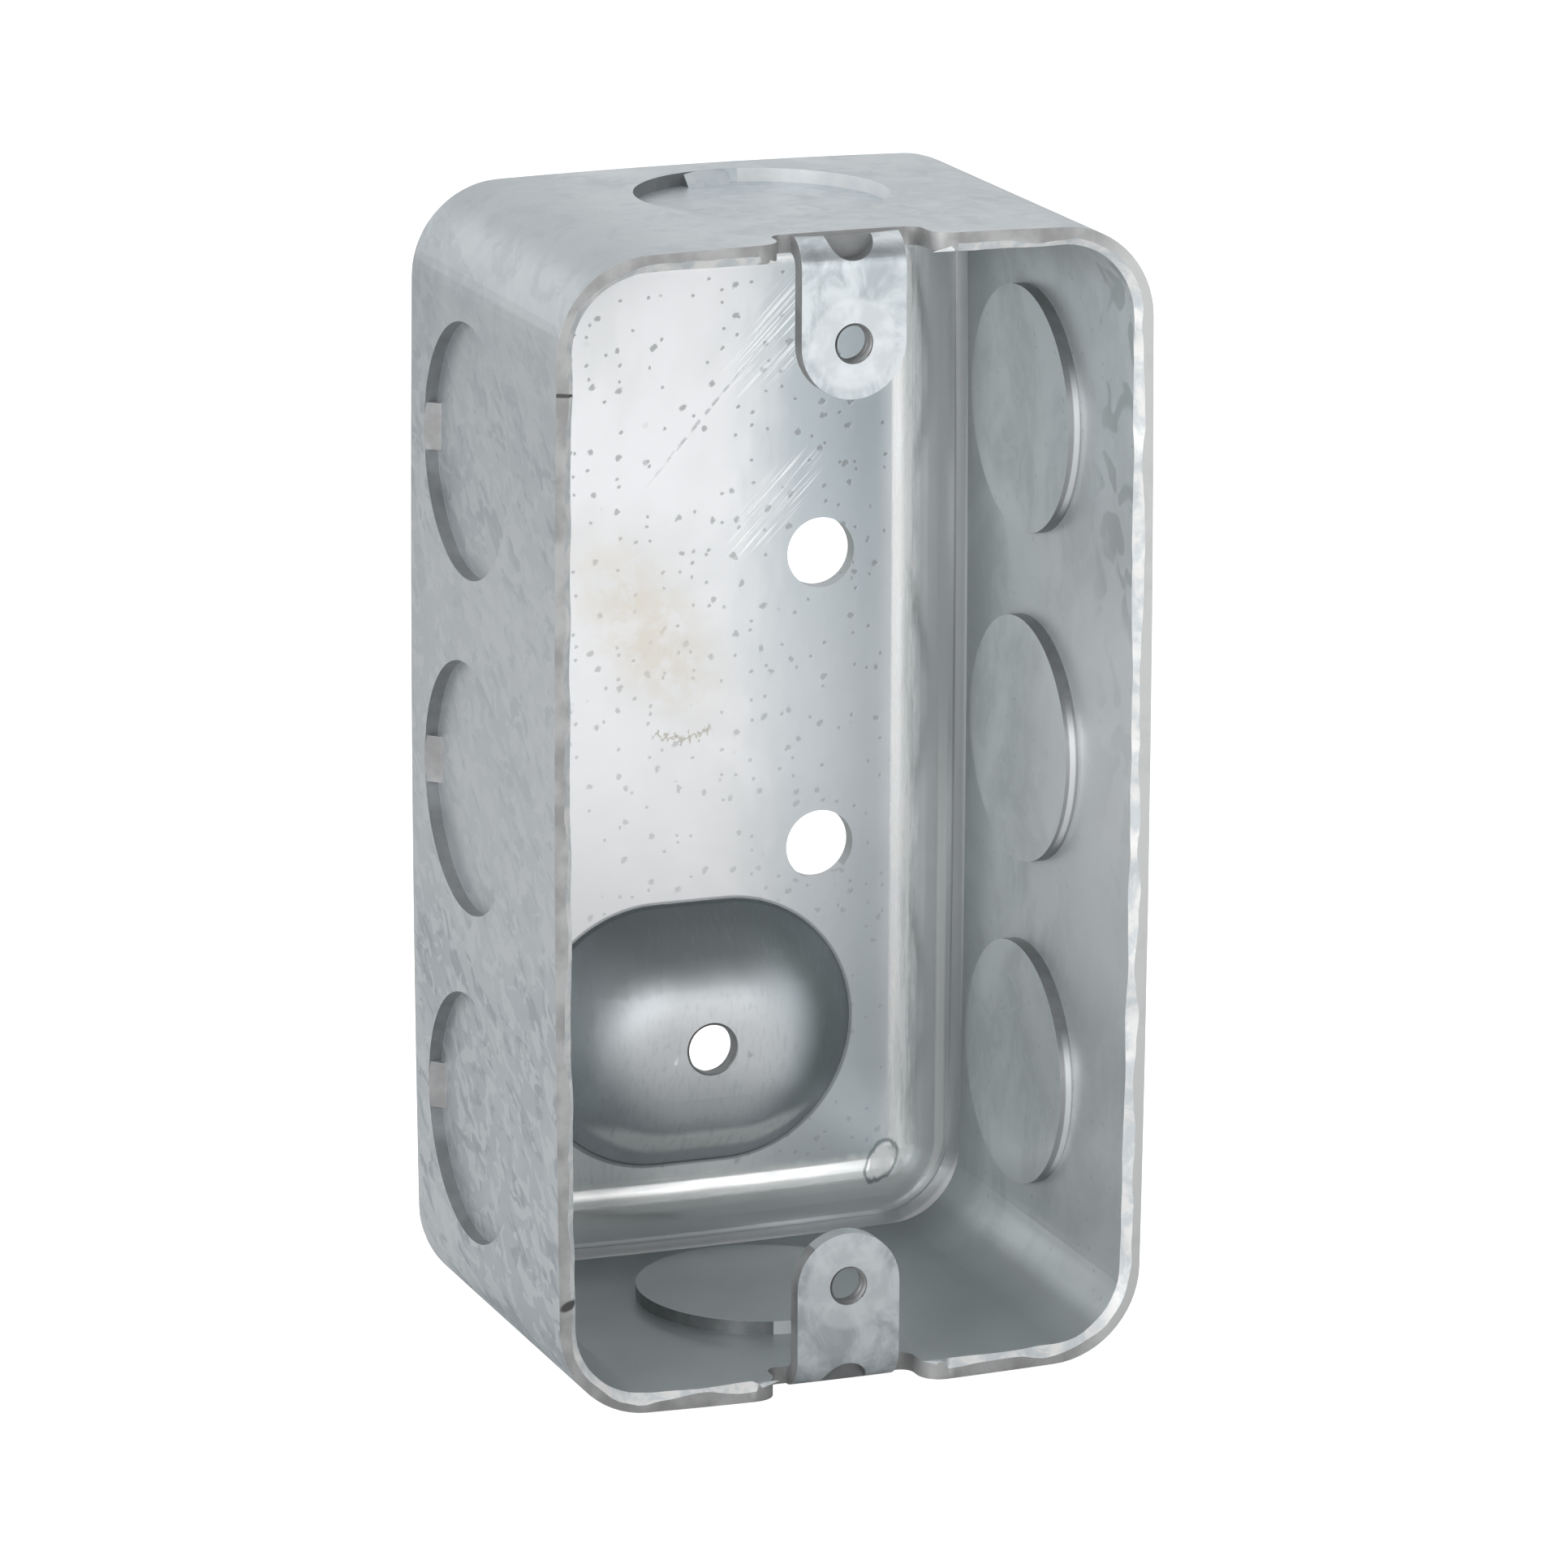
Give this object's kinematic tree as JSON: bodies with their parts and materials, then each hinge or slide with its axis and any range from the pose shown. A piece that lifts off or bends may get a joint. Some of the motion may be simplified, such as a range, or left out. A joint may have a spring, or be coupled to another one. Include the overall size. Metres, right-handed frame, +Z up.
{
  "type": "rectangular electrical box",
  "caption": "Drawn steel wiring box, open at the front, with folded screw ears, pressed knock-outs and a raised ground dome.",
  "frame": {"origin": "on the floor, under the middle of the box, which stands on its lower end wall", "axes": "+X to the right seen from the open side, +Z up along the length, and the open side faces -Y"},
  "size_m": [0.0546, 0.041, 0.1018],
  "materials": {
    "galvanised_steel": "dull galvanised sheet with a faint spangle"
  },
  "bodies": {
    "root": {"drawn_box": "galvanised_steel"}
  },
  "joints": []
}
